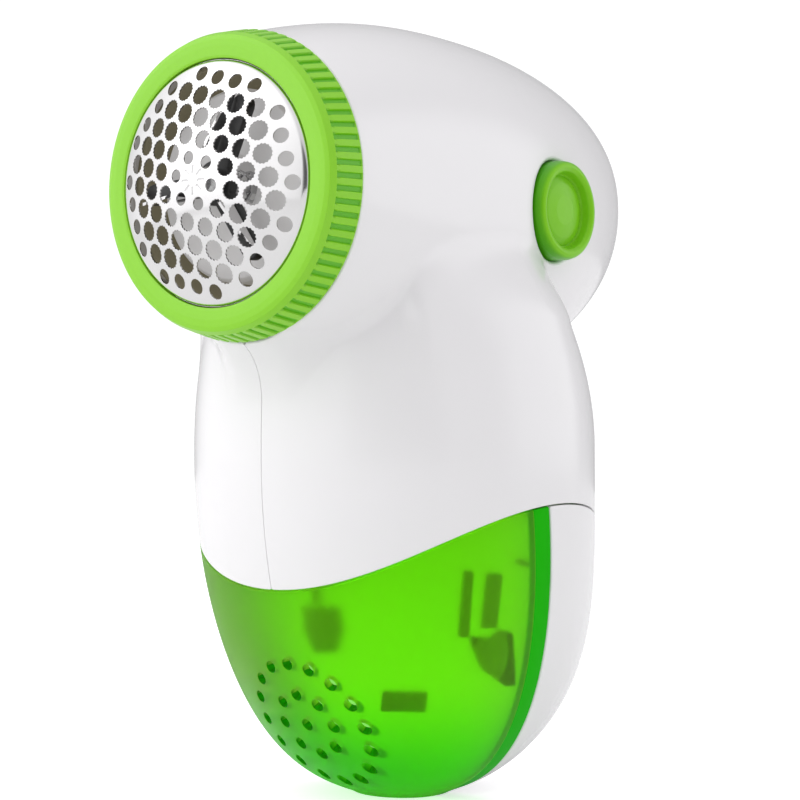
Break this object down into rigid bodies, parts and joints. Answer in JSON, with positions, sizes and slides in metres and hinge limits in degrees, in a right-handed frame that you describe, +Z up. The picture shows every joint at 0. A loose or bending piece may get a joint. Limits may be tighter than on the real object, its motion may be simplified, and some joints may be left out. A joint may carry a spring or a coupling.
{
  "type": "fabric shaver",
  "caption": "Hand-held fabric shaver: barrel head with a domed perforated foil and knurled collar on an egg-shaped handle with a push button, lint container and battery cover.",
  "frame": {"origin": "middle of the bounding box's base, on the surface that the shaver stands on", "axes": "+Z up; the foil faces -Y; the push button is on the +X side"},
  "size_m": [0.0706, 0.1146, 0.1358],
  "materials": {
    "gloss_white": "high gloss",
    "clear_green": "clear, finely frosted",
    "lime_satin": "satin",
    "polished_steel": "polished",
    "spring_steel": "bright",
    "grey_plastic": "satin",
    "white_plastic": "satin",
    "black_plastic": "satin",
    "motor_shell": "plated",
    "cell_jacket": "printed sleeve without text",
    "brass": "bright",
    "red_sleeve": "smooth",
    "black_sleeve": "smooth"
  },
  "bodies": {
    "body": {"left_housing": "gloss_white", "right_housing": "gloss_white", "cutter_chamber": "grey_plastic", "motor_can": "motor_shell", "motor_end_cap": "black_plastic", "motor_terminal_left": "brass", "motor_terminal_right": "brass", "motor_bracket": "grey_plastic", "lint_duct": "grey_plastic", "button_spring": "spring_steel", "switch_body": "black_plastic", "battery_carrier": "white_plastic", "battery_left": "cell_jacket", "battery_right": "cell_jacket", "contact_spring_left": "spring_steel", "contact_spring_right": "spring_steel", "contact_plate_top": "brass", "contact_plate_base": "brass", "lead_red": "red_sleeve", "lead_black": "black_sleeve", "lead_link": "black_sleeve", "housing_pin_1": "spring_steel", "housing_pin_2": "spring_steel", "housing_pin_3": "spring_steel"},
    "cutter": {"cutter_carrier": "black_plastic", "cutter_blade_1": "polished_steel", "cutter_blade_2": "polished_steel", "cutter_blade_3": "polished_steel", "cutter_cap": "spring_steel", "cutter_spring": "spring_steel", "drive_shaft": "spring_steel"},
    "collar": {"collar_ring": "lime_satin", "shaving_foil": "polished_steel"},
    "button": {"power_button": "lime_satin", "switch_plunger": "black_plastic"},
    "container": {"lint_container": "clear_green"},
    "cover": {"battery_cover": "gloss_white"}
  },
  "joints": [
    {"name": "cutter_spin", "type": "hinge", "parent": "body", "child": "cutter", "pos_m": [0, -0.0476, 0.1052], "axis": [0, 1, 0], "continuous": true},
    {"name": "collar_twist", "type": "hinge", "parent": "body", "child": "collar", "pos_m": [0, -0.0487, 0.1052], "axis": [0, 1, 0], "range_deg": [0, 30]},
    {"name": "button_press", "type": "slide", "parent": "body", "child": "button", "axis": [-1, 0, 0], "range_m": [0, 0.002], "stiffness_N_per_m": 300, "springref_m": -0.002},
    {"name": "container_slide", "type": "slide", "parent": "body", "child": "container", "axis": [0, 0.1483, -0.9889], "range_m": [0, 0.055]},
    {"name": "cover_slide", "type": "slide", "parent": "body", "child": "cover", "axis": [0, 0.1483, -0.9889], "range_m": [0, 0.055]}
  ]
}
